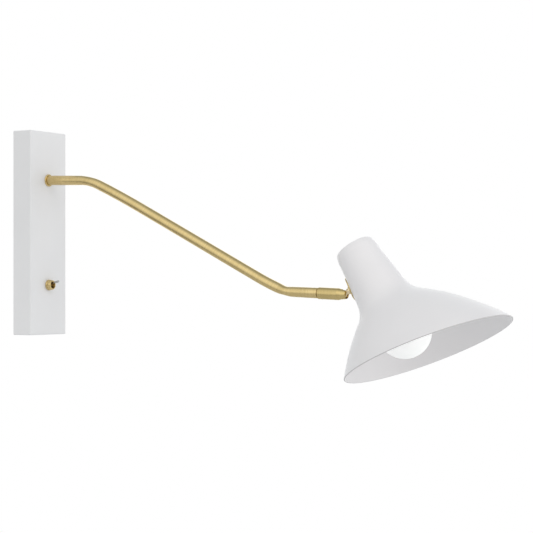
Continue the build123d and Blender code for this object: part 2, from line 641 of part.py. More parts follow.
with BuildPart() as stem_lock_washer:
    with BuildSketch(across(B, S1, WALL_IN + HB_T, X1)):
        Circle(6.2)
        Circle(4.1, mode=Mode.SUBTRACT)
    extrude(amount=0.6)
    with BuildSketch(across(B, S1, WALL_IN + HB_T, X1)):
        with Locations((5.2, 0)):
            Rectangle(3, 0.8)                            # split
    extrude(amount=0.6, mode=Mode.SUBTRACT)
save(stem_lock_washer.part, "stem_lock_washer")

with BuildPart() as stem_nut:
    with BuildSketch(across(B, S1, WALL_IN + HB_T + 0.65, X1)):
        RegularPolygon(6.5, 6, major_radius=False)
        Circle(4.0, mode=Mode.SUBTRACT)
    extrude(amount=2.1)
save(stem_nut.part, "stem_nut")

HOLDER_BACK = FOOT_T + HB_T                                # holder stands on the bracket
with BuildPart() as holder_nipple:
    with BuildSketch(across(P_TOP, A1, 14.5, XH)):
        Circle(5.0)
        Circle(3.4, mode=Mode.SUBTRACT)
    extrude(amount=13.5)
save(holder_nipple.part, "holder_nipple")

with BuildPart() as holder_nut:
    with BuildSketch(across(P_TOP, A1, 16.3, XH)):
        RegularPolygon(7.5, 6, major_radius=False)
        Circle(5.0, mode=Mode.SUBTRACT)
    extrude(amount=3.2)
save(holder_nut.part, "holder_nut")

HEAD_LEAD_R, LEAD_IN_T, LEAD_E = 1.2, 27.6, 16.75
with BuildPart() as lampholder_body:
    with BuildSketch(HEAD):
        with BuildLine():
            Polyline((HOLDER_BACK, 5.0), (HOLDER_BACK, 11.5), (HOLDER_BACK + 3.5, 15.2), (62.0, 15.2), (62.0, 14.0),
                     (33.0, 14.0), (33.0, 5.0), close=True)
        make_face()
    revolve(axis=HEAD_AXIS)
    with BuildSketch(across(P_TOP, A1, 28.0, XH)):       # floor
        Circle(6)
    extrude(amount=5.0)
    with BuildSketch(across(P_TOP + A1 * LEAD_IN_T, E1, 8.8, XH)):      # way in for the lead
        Circle(HEAD_LEAD_R + 0.3)
    extrude(amount=8, mode=Mode.SUBTRACT)
save(lampholder_body.part, "lampholder_body")

# screw thread drawn as rolled rounds of the standard Edison pitch
PITCH = 3.62


def screw_profile(t0, n, r_root, r_crest):
    pts = []
    for i in range(n):
        a = t0 + i * PITCH
        pts += [(a, r_root), (a + PITCH * 0.25, (r_root + r_crest) / 2), (a + PITCH * 0.5, r_crest),
                (a + PITCH * 0.75, (r_root + r_crest) / 2)]
    pts.append((t0 + n * PITCH, r_root))
    return pts


with BuildPart() as screw_shell:
    outer = screw_profile(40.0, 5, 13.3, 13.75)
    with BuildSketch(HEAD):
        with BuildLine():
            Spline(*outer)
            Line(outer[-1], (outer[-1][0], outer[-1][1] - 0.35))
            Spline(*[(t, r - 0.35) for t, r in reversed(outer)])
            Line((outer[0][0], outer[0][1] - 0.35), outer[0])
        make_face()
    revolve(axis=HEAD_AXIS)
    with BuildSketch(across(P_TOP, A1, 34.6, XH)):       # foot down to the holder's floor
        Circle(13.3)
        Circle(12.95, mode=Mode.SUBTRACT)
    extrude(amount=5.4)
save(screw_shell.part, "screw_shell")

with BuildPart() as centre_contact:                      # sprung tab under the lamp's eyelet
    with BuildSketch(HEAD):
        with BuildLine():
            Polyline((33.0, 8.5), (33.0, 4.2), (33.75, 2.0), (33.75, -2.2), (34.15, -2.2), (34.15, 2.2),
                     (33.4, 4.4), (33.4, 8.5), close=True)
        make_face()
    extrude(amount=2.2, both=True)
save(centre_contact.part, "centre_contact")

# lamp: frosted A-shape with an Edison cap
LAMP_TIP = 34.2
GLOBE_T, GLOBE_R = 112.4, 30.0
with BuildPart() as bulb_contact:
    with BuildSketch(HEAD):
        with BuildLine():
            Polyline((LAMP_TIP, 0), (LAMP_TIP, 2.6), (LAMP_TIP + 1.6, 4.4), (LAMP_TIP + 1.6, 0), close=True)
        make_face()
    revolve(axis=HEAD_AXIS)
save(bulb_contact.part, "bulb_contact")

with BuildPart() as bulb_insulator:
    with BuildSketch(HEAD):
        with BuildLine():
            Polyline((LAMP_TIP + 1.6, 0), (LAMP_TIP + 1.6, 5.6), (LAMP_TIP + 5.2, 9.6), (LAMP_TIP + 5.2, 0), close=True)
        make_face()
    revolve(axis=HEAD_AXIS)
save(bulb_insulator.part, "bulb_insulator")

with BuildPart() as bulb_cap:
    crest = screw_profile(LAMP_TIP + 7.3, 4, 12.15, 12.8)
    with BuildSketch(HEAD):
        with BuildLine():
            Polyline((crest[0][0], crest[0][1]), (LAMP_TIP + 5.2, 9.8), (LAMP_TIP + 5.2, 9.0))
            Line((LAMP_TIP + 5.2, 9.0), (crest[0][0] + 0.3, crest[0][1] - 0.6))
            Spline(*[(t, r - 0.4) for t, r in [(crest[0][0] + 0.3, crest[0][1] - 0.2)] + crest[2:]])
            Polyline((crest[-1][0], crest[-1][1] - 0.4), (LAMP_TIP + 26.0, 12.3), (LAMP_TIP + 26.0, 12.7), crest[-1])
            Spline(*crest)
        make_face()
    revolve(axis=HEAD_AXIS)
save(bulb_cap.part, "bulb_cap")

g = [(LAMP_TIP + 24.6, 11.5), (LAMP_TIP + 28.0, 12.6), (LAMP_TIP + 33.0, 14.1), (LAMP_TIP + 40.0, 17.0),
     (LAMP_TIP + 48.0, 21.2), (LAMP_TIP + 56.0, 25.4), (LAMP_TIP + 65.0, 28.6)]
with BuildPart() as bulb_glass:
    for wall, keep in ((0.0, Mode.ADD), (1.0, Mode.SUBTRACT)):
        r = GLOBE_R - wall
        neck = (g[0][0] - 0.5 * wall, g[0][1] - 1.1 * wall)
        globe = [(GLOBE_T, r)] + [tuple(Vector(GLOBE_T, 0) + Vector(0, r).rotate(Axis.Z, -a))[:2] for a in range(15, 90, 15)]
        with BuildSketch(HEAD):
            with BuildLine():
                Line((neck[0], 0), neck)
                Spline(neck, *[(t, q - wall) for t, q in g[1:]], *globe, (GLOBE_T + r, 0), tangents=((1, 0.25), (0, -1)))
                Line((GLOBE_T + r, 0), (neck[0], 0))
            make_face()
        revolve(axis=HEAD_AXIS, mode=keep)
save(bulb_glass.part, "bulb_glass")

with BuildPart() as head_lead:                           # from the ball through the stem to the lamp holder
    k1 = on_stem((B_E - LEAD_E) / -S_IN_E, 0)
    hl_pts = [B + S1 * -2.4, P_TOP + A1 * k1[0] + E1 * k1[1], P_TOP + A1 * LEAD_IN_T + E1 * LEAD_E,
              P_TOP + A1 * LEAD_IN_T + E1 * 9.2]
    with BuildLine() as hl:
        FilletPolyline(*[tuple(v) for v in hl_pts], radius=[2.6, 2.4])
    with BuildSketch(across(B, S1, -2.4, X1)):
        Circle(HEAD_LEAD_R)
    sweep(path=hl.wires()[0])
save(head_lead.part, "head_lead")

print("ball centre", B, "shade top", P_TOP, "shade axis", A1, "stem", S1, "tilt axis", X1, "arm end axis", U)
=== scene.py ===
import bpy, bmesh, math, json
import numpy as np
from mathutils import Vector, Quaternion, Matrix


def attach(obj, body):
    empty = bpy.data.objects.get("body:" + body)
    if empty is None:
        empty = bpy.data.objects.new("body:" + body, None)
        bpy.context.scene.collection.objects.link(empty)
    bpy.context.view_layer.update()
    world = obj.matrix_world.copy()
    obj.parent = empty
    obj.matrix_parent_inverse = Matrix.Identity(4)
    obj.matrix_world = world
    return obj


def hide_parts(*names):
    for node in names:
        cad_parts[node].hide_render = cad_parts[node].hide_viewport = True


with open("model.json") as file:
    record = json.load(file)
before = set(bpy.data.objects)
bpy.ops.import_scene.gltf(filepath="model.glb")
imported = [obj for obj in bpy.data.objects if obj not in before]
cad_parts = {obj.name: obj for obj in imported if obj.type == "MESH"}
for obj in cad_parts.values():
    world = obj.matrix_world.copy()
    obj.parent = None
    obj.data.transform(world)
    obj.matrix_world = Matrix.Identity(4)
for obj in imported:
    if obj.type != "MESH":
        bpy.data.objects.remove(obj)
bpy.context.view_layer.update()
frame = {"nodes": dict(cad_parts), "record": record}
N = frame["nodes"]
MM = 0.001

# ------------------------------------------------------------------ the frame's own numbers, in millimetres
BOX_D, SWING_Z, SWITCH_Z = 27.6, 66.15, -64.8
ARM_END = 2.421
KNEE_1, KNEE_2 = (-99.76, 63.73), (-369.72, -72.36)
KNEE_1_R, KNEE_2_R = (87.0, 1400.0, 0.884), (400.0, 51.5, 0.2)
BALL_Y, BALL_R, STEM_UP = -450.3, 4.5, 27.4
TURN0, SPIN0 = -3.763, 2.253
SLEEVE_BACK = -31.2
SHADE_TOP, SHADE_TILT, SHADE_T = (-462.54, -23.33), 34.53, 1.2
MOUTH_AT, MOUTH_CUT = 142.53, 11.16
SHADE_TS = [0, 4, 8, 12, 18, 24, 30, 36, 42, 48, 54, 60, 66, 70, 74, 78, 82, 86, 90, 95, 100, 105, 110, 116, 122,
            128, 134, 140, 146, 152, 158, 164, 170, 176]
SHADE_RS = [21.22, 23.08, 23.90, 24.23, 24.69, 25.31, 26.03, 26.81, 27.59, 28.32, 28.96, 29.63, 30.86, 32.25, 34.30,
            37.17, 40.98, 45.44, 49.97, 55.35, 60.43, 65.24, 69.79, 74.95, 79.85, 84.54, 89.08, 93.51, 97.75, 101.71,
            105.32, 108.50, 111.18, 113.44]


def V(*a):
    return np.array(a, float)


def rot(v, axis, deg):
    axis = axis / np.linalg.norm(axis)
    t = math.radians(deg)
    return v * math.cos(t) + np.cross(axis, v) * math.sin(t) + axis * (axis @ v) * (1 - math.cos(t))


def down(deg):
    return rot(V(0, -1, 0), V(1, 0, 0), deg)


X = V(1, 0, 0)
U = down(ARM_END)
B = V(0, BALL_Y, KNEE_2[1] + (BALL_Y - KNEE_2[0]) * U[2] / U[1])
X1 = rot(X, U, TURN0)
S1 = rot(down(-STEM_UP), U, TURN0)


def head(v):
    return rot(rot(v, U, TURN0), S1, SPIN0)


P_TOP = B + head(V(0, *SHADE_TOP) - B)
A1 = head(down(90 - SHADE_TILT))
XH = head(X)
E1 = np.cross(XH, A1)
PUP = np.cross(-X1, S1)                      # square to the stem, towards the neck's closed end


class Natural:
    """Natural cubic spline through (x, y)."""

    def __init__(self, x, y):
        x, y = np.array(x, float), np.array(y, float)
        n, h = len(x), np.diff(x)
        a = np.zeros((n, n)); r = np.zeros(n)
        a[0, 0] = a[-1, -1] = 1
        for i in range(1, n - 1):
            a[i, i - 1], a[i, i], a[i, i + 1] = h[i - 1], 2 * (h[i - 1] + h[i]), h[i]
            r[i] = 6 * ((y[i + 1] - y[i]) / h[i] - (y[i] - y[i - 1]) / h[i - 1])
        self.x, self.y, self.h, self.m = x, y, h, np.linalg.solve(a, r)

    def __call__(self, t, d=0):
        t = np.asarray(t, float)
        i = np.clip(np.searchsorted(self.x, t) - 1, 0, len(self.x) - 2)
        h, x0, x1 = self.h[i], self.x[i], self.x[i + 1]
        m0, m1, y0, y1 = self.m[i], self.m[i + 1], self.y[i], self.y[i + 1]
        if d:
            return (-m0 * (x1 - t) ** 2 / (2 * h) + m1 * (t - x0) ** 2 / (2 * h)
                    + (y1 - y0) / h - (m1 - m0) * h / 6)
        return (m0 * (x1 - t) ** 3 / (6 * h) + m1 * (t - x0) ** 3 / (6 * h)
                + (y0 / h - m0 * h / 6) * (x1 - t) + (y1 / h - m1 * h / 6) * (t - x0))


R_SHADE = Natural(SHADE_TS, SHADE_RS)

# ------------------------------------------------------------------ materials


def new_mat(name):
    m = bpy.data.materials.new(name)
    m.use_nodes = True
    nt = m.node_tree
    bs = nt.nodes.get("Principled BSDF")
    return m, nt, bs


def link(nt, a, b):
    nt.links.new(a, b)


def noise(nt, vec, scale, detail=3.0, rough=0.5, dims="3D"):
    n = nt.nodes.new("ShaderNodeTexNoise")
    n.noise_dimensions = dims
    n.inputs["Scale"].default_value = scale
    n.inputs["Detail"].default_value = detail
    n.inputs["Roughness"].default_value = rough
    if dims == "1D":
        link(nt, vec, n.inputs["W"])
    else:
        link(nt, vec, n.inputs["Vector"])
    return n


def remap(nt, src, a, b, lo=0.3, hi=0.7):
    r = nt.nodes.new("ShaderNodeMapRange")
    r.inputs["From Min"].default_value = lo
    r.inputs["From Max"].default_value = hi
    r.inputs["To Min"].default_value = a
    r.inputs["To Max"].default_value = b
    link(nt, src, r.inputs["Value"])
    return r.outputs["Result"]


def mix_col(nt, fac, c1, c2):
    m = nt.nodes.new("ShaderNodeMix")
    m.data_type = "RGBA"
    link(nt, fac, m.inputs["Factor"])
    for key, c in (("A", c1), ("B", c2)):
        s = [s for s in m.inputs if s.name == key and s.type == "RGBA"][0]
        if isinstance(c, tuple):
            s.default_value = (*c, 1.0)
        else:
            link(nt, c, s)
    return [o for o in m.outputs if o.type == "RGBA"][0]


def bump(nt, bs, height, dist, strength=1.0, prev=None):
    b = nt.nodes.new("ShaderNodeBump")
    b.inputs["Distance"].default_value = dist
    b.inputs["Strength"].default_value = strength
    link(nt, height, b.inputs["Height"])
    if prev is not None:
        link(nt, prev, b.inputs["Normal"])
    link(nt, b.outputs["Normal"], bs.inputs["Normal"])
    return b.outputs["Normal"]


def obj_coords(nt):
    return nt.nodes.new("ShaderNodeTexCoord").outputs["Object"]


def along(nt, axis):
    d = nt.nodes.new("ShaderNodeVectorMath")
    d.operation = "DOT_PRODUCT"
    link(nt, obj_coords(nt), d.inputs[0])
    d.inputs[1].default_value = tuple(float(a) for a in axis)
    return d.outputs["Value"]


def painted(name, c1, c2, rough=(0.42, 0.5), grain=1600.0, peel=220.0, depth=1.4e-5, coat=0.0):
    """Paint or powder coat: fine grain, a soft orange peel and a faint drift of tone."""
    m, nt, bs = new_mat(name)
    oc = obj_coords(nt)
    drift = noise(nt, oc, 14.0, 2.0)
    link(nt, mix_col(nt, remap(nt, drift.outputs["Fac"], 0, 1), c1, c2), bs.inputs["Base Color"])
    fine = noise(nt, oc, grain, 2.0, 0.6)
    link(nt, remap(nt, fine.outputs["Fac"], *rough), bs.inputs["Roughness"])
    soft = noise(nt, oc, peel, 1.0)
    n1 = bump(nt, bs, soft.outputs["Fac"], depth * 2.2, 0.5)
    bump(nt, bs, fine.outputs["Fac"], depth, 0.55, n1)
    bs.inputs["Coat Weight"].default_value = coat
    bs.inputs["Coat Roughness"].default_value = 0.25
    bs.inputs["Specular IOR Level"].default_value = 0.45
    return m


def brushed(name, c1, c2, axis=None, rough=(0.19, 0.29), depth=3e-6, metallic=1.0, scale=5000.0):
    """Metal with fine lines running round an axis, or along the second UV direction when there is no axis."""
    m, nt, bs = new_mat(name)
    if axis is None:
        uv = nt.nodes.new("ShaderNodeUVMap").outputs["UV"]
        sep = nt.nodes.new("ShaderNodeSeparateXYZ")
        link(nt, uv, sep.inputs[0])
        w = sep.outputs["X"]
    else:
        w = along(nt, axis)
    oc = obj_coords(nt)
    wob = noise(nt, oc, 260.0, 2.0)
    add = nt.nodes.new("ShaderNodeMath")
    add.operation = "MULTIPLY_ADD"
    link(nt, wob.outputs["Fac"], add.inputs[0])
    add.inputs[1].default_value = 0.00025
    link(nt, w, add.inputs[2])
    lines = noise(nt, add.outputs[0], scale, 3.0, 0.65, "1D")
    broad = noise(nt, add.outputs[0], scale * 0.12, 2.0, 0.6, "1D")
    cloud = noise(nt, oc, 70.0, 3.0, 0.6)
    f = nt.nodes.new("ShaderNodeMath"); f.operation = "ADD"
    link(nt, remap(nt, lines.outputs["Fac"], 0, 0.5), f.inputs[0])
    link(nt, remap(nt, broad.outputs["Fac"], 0, 0.5), f.inputs[1])
    col = mix_col(nt, f.outputs[0], c1, c2)
    dull = tuple(x * y for x, y in zip(c1, (0.93, 0.92, 0.88)))
    col2 = mix_col(nt, remap(nt, cloud.outputs["Fac"], 0, 0.55, 0.45, 0.8), col, dull)
    link(nt, col2, bs.inputs["Base Color"])
    bs.inputs["Metallic"].default_value = metallic
    link(nt, remap(nt, lines.outputs["Fac"], *rough), bs.inputs["Roughness"])
    n1 = bump(nt, bs, lines.outputs["Fac"], depth, 0.6)
    bump(nt, bs, broad.outputs["Fac"], depth * 1.5, 0.35, n1)
    return m


def plated(name, c1, c2, rough=(0.28, 0.45), scale=160.0, metallic=1.0):
    """Zinc, nickel or raw turned metal with a mottled surface."""
    m, nt, bs = new_mat(name)
    oc = obj_coords(nt)
    mott = nt.nodes.new("ShaderNodeTexVoronoi")
    mott.inputs["Scale"].default_value = scale
    link(nt, oc, mott.inputs["Vector"])
    nz = noise(nt, oc, scale * 3, 4.0, 0.6)
    f = nt.nodes.new("ShaderNodeMath"); f.operation = "MULTIPLY"
    link(nt, mott.outputs["Distance"], f.inputs[0]); link(nt, nz.outputs["Fac"], f.inputs[1])
    link(nt, mix_col(nt, remap(nt, f.outputs[0], 0, 1, 0.05, 0.45), c1, c2), bs.inputs["Base Color"])
    bs.inputs["Metallic"].default_value = metallic
    link(nt, remap(nt, nz.outputs["Fac"], *rough), bs.inputs["Roughness"])
    bump(nt, bs, nz.outputs["Fac"], 6e-6, 0.5)
    return m


def plastic(name, c1, c2, rough=(0.38, 0.55), grain=900.0, depth=1.2e-5, sub=0.0):
    m, nt, bs = new_mat(name)
    oc = obj_coords(nt)
    a = noise(nt, oc, 60.0, 3.0)
    link(nt, mix_col(nt, remap(nt, a.outputs["Fac"], 0, 1), c1, c2), bs.inputs["Base Color"])
    g = noise(nt, oc, grain, 2.0, 0.6)
    link(nt, remap(nt, g.outputs["Fac"], *rough), bs.inputs["Roughness"])
    bump(nt, bs, g.outputs["Fac"], depth, 0.5)
    if sub:
        bs.inputs["Subsurface Weight"].default_value = sub
        bs.inputs["Subsurface Radius"].default_value = (0.004, 0.004, 0.0035)
    return m


def frosted(name):
    m, nt, bs = new_mat(name)
    oc = obj_coords(nt)
    a = noise(nt, oc, 40.0, 3.0)
    link(nt, mix_col(nt, remap(nt, a.outputs["Fac"], 0, 1), (0.93, 0.93, 0.925), (0.97, 0.97, 0.965)), bs.inputs["Base Color"])
    g = noise(nt, oc, 1800.0, 2.0, 0.6)
    link(nt, remap(nt, g.outputs["Fac"], 0.3, 0.42), bs.inputs["Roughness"])
    bump(nt, bs, g.outputs["Fac"], 5e-6, 0.4)
    bs.inputs["Subsurface Weight"].default_value = 0.35
    bs.inputs["Subsurface Radius"].default_value = (0.012, 0.012, 0.012)
    bs.inputs["Emission Color"].default_value = (1.0, 0.995, 0.98, 1.0)
    bs.inputs["Emission Strength"].default_value = 0.236
    return m


BR1, BR2 = (0.59, 0.445, 0.195), (0.765, 0.60, 0.305)
M = {
    "white_coat": painted("m_white_powder_coat", (0.812, 0.807, 0.815), (0.836, 0.831, 0.839)),
    "white_shade": painted("m_white_shade_paint", (0.842, 0.822, 0.831), (0.864, 0.844, 0.853), (0.4, 0.47), 1300.0, 120.0, 1.0e-5),
    "white_coat_screw": painted("m_white_screw_paint", (0.76, 0.76, 0.765), (0.80, 0.80, 0.80), (0.35, 0.5), 2500.0, 600.0),
    "steel": plated("m_zinc_plate", (0.50, 0.51, 0.52), (0.68, 0.69, 0.70)),
    "lever_steel": plated("m_satin_nickel", (0.42, 0.415, 0.40), (0.52, 0.515, 0.50), (0.22, 0.34), 500.0),
    "dark_steel": plated("m_black_oxide", (0.03, 0.03, 0.035), (0.07, 0.07, 0.075), (0.3, 0.5), 400.0),
    "green_steel": painted("m_green_ground_screw", (0.03, 0.20, 0.06), (0.05, 0.27, 0.09), (0.3, 0.45), 2500.0, 500.0),
    "raw_brass": plated("m_raw_brass", (0.60, 0.44, 0.19), (0.74, 0.57, 0.28), (0.25, 0.4), 300.0),
    "aluminium": plated("m_rolled_aluminium", (0.62, 0.62, 0.63), (0.78, 0.78, 0.79), (0.25, 0.38), 260.0),
    "black_plastic": plastic("m_black_phenolic", (0.012, 0.012, 0.012), (0.03, 0.028, 0.026)),
    "white_plastic": plastic("m_white_ceramic_nylon", (0.72, 0.71, 0.67), (0.80, 0.79, 0.75), (0.25, 0.4), sub=0.1),
    "black_wire": plastic("m_black_pvc", (0.015, 0.015, 0.015), (0.03, 0.03, 0.03)),
    "green_wire": plastic("m_green_pvc", (0.02, 0.16, 0.05), (0.035, 0.22, 0.07)),
    "clear_wire": plastic("m_ivory_pvc", (0.62, 0.60, 0.54), (0.70, 0.68, 0.62)),
    "black_glass": plastic("m_vitrite", (0.01, 0.01, 0.012), (0.02, 0.02, 0.025), (0.08, 0.15)),
    "frosted_glass": frosted("m_frosted_lamp_glass"),
}
BRASS_Y = brushed("m_brass_round_y", BR1, BR2, (0, -1, 0))
# Sleeve: a darker copy of the arm's brass with fainter lines; the darker colour is painted shade.
BRASS_U_PAINTED_SHADE = brushed("m_brass_round_arm_end_painted_shade", (0.585, 0.445, 0.19), (0.66, 0.51, 0.235), U, (0.17, 0.23), 1e-6)
# Ball and stem: the low roughness is real polish, and the lighter base colour is a painted highlight.
BRASS_S_PAINTED_HIGHLIGHT = brushed("m_brass_round_stem_painted_highlight", (0.80, 0.64, 0.40), (0.93, 0.79, 0.55), S1, (0.14, 0.22), 2e-6)
BRASS_TUBE = brushed("m_brass_tube", BR1, BR2, None)
BRASS_SADDLE = brushed("m_brass_saddle", BR1, BR2, PUP)

slot_of = {s["node"]: s["material_slot"] for s in frame["record"]["subparts"]}
own = {"swivel_collar": BRASS_Y, "switch_bushing": BRASS_Y, "switch_nut": BRASS_Y, "switch_dress_nut": BRASS_Y,
       "knuckle_sleeve": BRASS_U_PAINTED_SHADE, "swivel_ball": BRASS_S_PAINTED_HIGHLIGHT, "ball_stem": BRASS_S_PAINTED_HIGHLIGHT, "saddle_plate": BRASS_SADDLE,
       "arm_tube": BRASS_Y}


def smooth_by_angle(me, deg=32):
    me.polygons.foreach_set("use_smooth", [True] * len(me.polygons))
    me.set_sharp_from_angle(angle=math.radians(deg))


for name, o in N.items():
    mat = own.get(name) or M[slot_of[name]]
    o.data.materials.clear()
    o.data.materials.append(mat)

# ------------------------------------------------------------------ mesh helpers


def build(name, verts, faces, mat, body, replaces=(), uv=None, deg=32, boolean=None, second=None):
    me = bpy.data.meshes.new(name)
    me.from_pydata([tuple(v * MM) for v in verts], [], faces)
    me.validate()
    if uv is not None:
        layer = me.uv_layers.new(name="UVMap")
        idx = np.zeros(len(me.loops), int)
        me.loops.foreach_get("vertex_index", idx)
        layer.data.foreach_set("uv", uv(idx, me).astype(np.float32).ravel())
    bm = bmesh.new()
    bm.from_mesh(me)
    bmesh.ops.recalc_face_normals(bm, faces=bm.faces)
    bm.to_mesh(me)
    bm.free()
    o = bpy.data.objects.new(name, me)
    bpy.context.scene.collection.objects.link(o)
    if boolean is not None:
        md = o.modifiers.new("cut", "BOOLEAN")
        md.operation, md.solver, md.object = "DIFFERENCE", "EXACT", boolean
        dg = bpy.context.evaluated_depsgraph_get()
        new = bpy.data.meshes.new_from_object(o.evaluated_get(dg))
        o.modifiers.clear()
        o.data = new
        bpy.data.objects.remove(boolean)
        me = new
    smooth_by_angle(me, deg)
    me.materials.clear()
    me.materials.append(mat)
    me.polygons.foreach_set("material_index", [0] * len(me.polygons))
    if second is not None:                                # (material, test on a face's middle, in mm)
        me.materials.append(second[0])
        for f in me.polygons:
            if second[1](np.array(f.center) / MM):
                f.material_index = 1
    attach(o, body)
    if replaces:
        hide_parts(*replaces)
    return o


def perp(axis):
    a = np.cross(axis, V(0, 0, 1) if abs(axis[2]) < 0.9 else V(1, 0, 0))
    a /= np.linalg.norm(a)
    return a, np.cross(axis, a)


def lathe(name, prof, o, axis, mat, body, replaces=(), seg=96, closed=True, mod=None, deg=32):
    """prof: (s, r) points along and off the axis; closed joins the last to the first; r = 0 is a pole."""
    e, f = perp(axis)
    verts, rings = [], []
    for s, r in prof:
        if r < 1e-6:
            rings.append([len(verts)])
            verts.append(o + axis * s)
        else:
            start = len(verts)
            for k in range(seg):
                ph = 2 * math.pi * k / seg
                rr = mod(s, r, ph, k) if mod else r
                verts.append(o + axis * s + rr * (e * math.cos(ph) + f * math.sin(ph)))
            rings.append(list(range(start, start + seg)))
    faces = []
    n = len(rings)
    for i in range(n if closed else n - 1):
        a, b = rings[i], rings[(i + 1) % n]
        for k in range(seg):
            j = (k + 1) % seg
            if len(a) == 1 and len(b) == 1:
                continue
            if len(a) == 1:
                faces.append((a[0], b[j], b[k]))
            elif len(b) == 1:
                faces.append((a[k], a[j], b[0]))
            else:
                faces.append((a[k], a[j], b[j], b[k]))
    return build(name, verts, faces, mat, body, replaces, deg=deg)


def rounded(pts, rad, closed=True, n=4):
    """Rounds the corners of a profile. rad: one radius, or one for each point."""
    out = []
    m = len(pts)
    for i, p in enumerate(pts):
        r = rad[i] if isinstance(rad, (list, tuple)) else rad
        if (not closed and i in (0, m - 1)) or r <= 0:
            out.append(tuple(p)); continue
        a, b, c = V(*pts[i - 1]), V(*p), V(*pts[(i + 1) % m])
        u, w = a - b, c - b
        lu, lw = np.linalg.norm(u), np.linalg.norm(w)
        u, w = u / lu, w / lw
        ang = math.acos(max(-1, min(1, u @ w)))
        if ang > math.radians(176):
            out.append(tuple(p)); continue
        d = min(r / math.tan(ang / 2), lu * 0.45, lw * 0.45)
        p0, p1 = b + u * d, b + w * d
        for k in range(n + 1):
            t = k / n
            q = (1 - t) ** 2 * p0 + 2 * t * (1 - t) * b + t * t * p1
            out.append((float(q[0]), float(q[1])))
    return out


def arc(cx, cy, r, a0, a1, n):
    return [(cx + r * math.cos(math.radians(a0 + (a1 - a0) * i / n)), cy + r * math.sin(math.radians(a0 + (a1 - a0) * i / n)))
            for i in range(n + 1)]


# ------------------------------------------------------------------ arm tube: three straights, bends of 42 mm
def filleted(pts, radii, step=1.2):
    """Points along straights joined by tangent arcs, in the YZ plane."""
    out = []
    pts = [V(*p) for p in pts]
    prev = pts[0]
    out.append(prev)
    for i, r in enumerate(radii):
        b = pts[i + 1]
        u, w = pts[i] - b, pts[i + 2] - b
        u, w = u / np.linalg.norm(u), w / np.linalg.norm(w)
        ang = math.acos(max(-1, min(1, u @ w)))
        d = r / math.tan(ang / 2)
        bis = (u + w) / np.linalg.norm(u + w)
        c = b + bis * (r / math.sin(ang / 2))
        a, z = b + u * d, b + w * d
        n = max(8, int(r * (math.pi - ang) / 0.8))
        va, vz = (a - c) / r, (z - c) / r
        th = math.acos(max(-1, min(1, va @ vz)))
        L = np.linalg.norm(a - out[-1])
        k = max(1, int(L / 12))
        s0 = out[-1]
        for j in range(1, k):
            out.append(s0 + (a - s0) * j / k)
        for j in range(n + 1):
            t = j / n
            out.append(c + r * (math.sin((1 - t) * th) * va + math.sin(t * th) * vz) / math.sin(th))
    L = np.linalg.norm(pts[-1] - out[-1])
    k = max(1, int(L / 12))
    s0 = out[-1]
    for j in range(1, k + 1):
        out.append(s0 + (pts[-1] - s0) * j / k)
    return out


def knee(before, at, after, shape):
    r1, r2, share = shape
    k = V(*at)
    din, dout = k - V(*before), V(*after) - k
    din, dout = din / np.linalg.norm(din), dout / np.linalg.norm(dout)
    a = math.acos(din @ dout)
    a1, a2 = a * share, a * (1 - share)
    span = r1 * math.tan(a1 / 2) + r2 * math.tan(a2 / 2)
    return tuple(k - din * (span * math.sin(a2) / math.sin(a))), tuple(k + dout * (span * math.sin(a1) / math.sin(a)))


tube_end = B + U * (SLEEVE_BACK - 0.9)
arm_start = (0, -32.0, SWING_Z)
corners = [arm_start, *knee(arm_start, (0, *KNEE_1), (0, *KNEE_2), KNEE_1_R),
           *knee((0, *KNEE_1), (0, *KNEE_2), tuple(tube_end), KNEE_2_R)]
path = filleted([(0, -22.0, SWING_Z)] + corners + [tuple(tube_end)],
                [60, KNEE_1_R[0] * 0.985, KNEE_1_R[1] * 0.985, KNEE_2_R[0] * 0.985, KNEE_2_R[1] * 0.985])
SEG = 72


def flat_of(y):
    """How far the bends press the tube out of round, in the plane of the arm."""
    def bell(c, w):
        return math.exp(-((y - c) / w) ** 2)
    return 1 - 0.062 * bell(-91.0, 11.0) - 0.13 * bell(-375.0, 7.0)


verts, uvs, ringstart = [], [], []
run = [0.0]
for a, b in zip(path, path[1:]):
    run.append(run[-1] + np.linalg.norm(b - a))


def ring_at(i, r, shift=0.0):
    t = path[min(i + 1, len(path) - 1)] - path[max(i - 1, 0)]
    t = t / np.linalg.norm(t)
    nrm = np.cross(X, t)
    start = len(verts)
    for k in range(SEG):
        ph = 2 * math.pi * k / SEG
        fl = flat_of(path[i][1])
        verts.append(path[i] + t * shift + r * (X * math.cos(ph) * (2 - fl) ** 0.5 + nrm * math.sin(ph) * fl))
        uvs.append(((run[i] + shift) * MM, ph * 6 * MM))
    ringstart.append(start)


last = len(path) - 1
ring_at(0, 5.6, 0.0); ring_at(0, 5.9, 0.1); ring_at(0, 6.0, 0.4)
for i in range(1, last):
    ring_at(i, 6.0)
ring_at(last, 6.0, -0.4); ring_at(last, 5.9, -0.1); ring_at(last, 5.6, 0.0); ring_at(last, 5.0, 0.0)
for i in range(last - 1, 0, -1):
    ring_at(i, 5.0)
ring_at(0, 5.0, 0.0)
faces = []
for i in range(len(ringstart)):
    a, b = ringstart[i], ringstart[(i + 1) % len(ringstart)]
    for k in range(SEG):
        j = (k + 1) % SEG
        faces.append((a + k, a + j, b + j, b + k))
uv_arr = np.array(uvs)
build("arm_tube_bent", verts, faces, BRASS_TUBE, "arm", ["arm_tube"], uv=lambda idx, me: uv_arr[idx])

# ------------------------------------------------------------------ collar
lathe("collar_turned", rounded([(19.0, 5.05), (22.0, 5.05), (22.0, 6.05), (29.4, 6.05), (29.4, 7.6), (27.6, 7.6), (27.6, 6.7), (19.0, 6.7)],
                               [0, 0, 0, 0.25, 0.75, 0.15, 0, 0.2]),
      V(0, 0, SWING_Z), V(0, -1, 0), BRASS_Y, "wall_base", ["swivel_collar"])

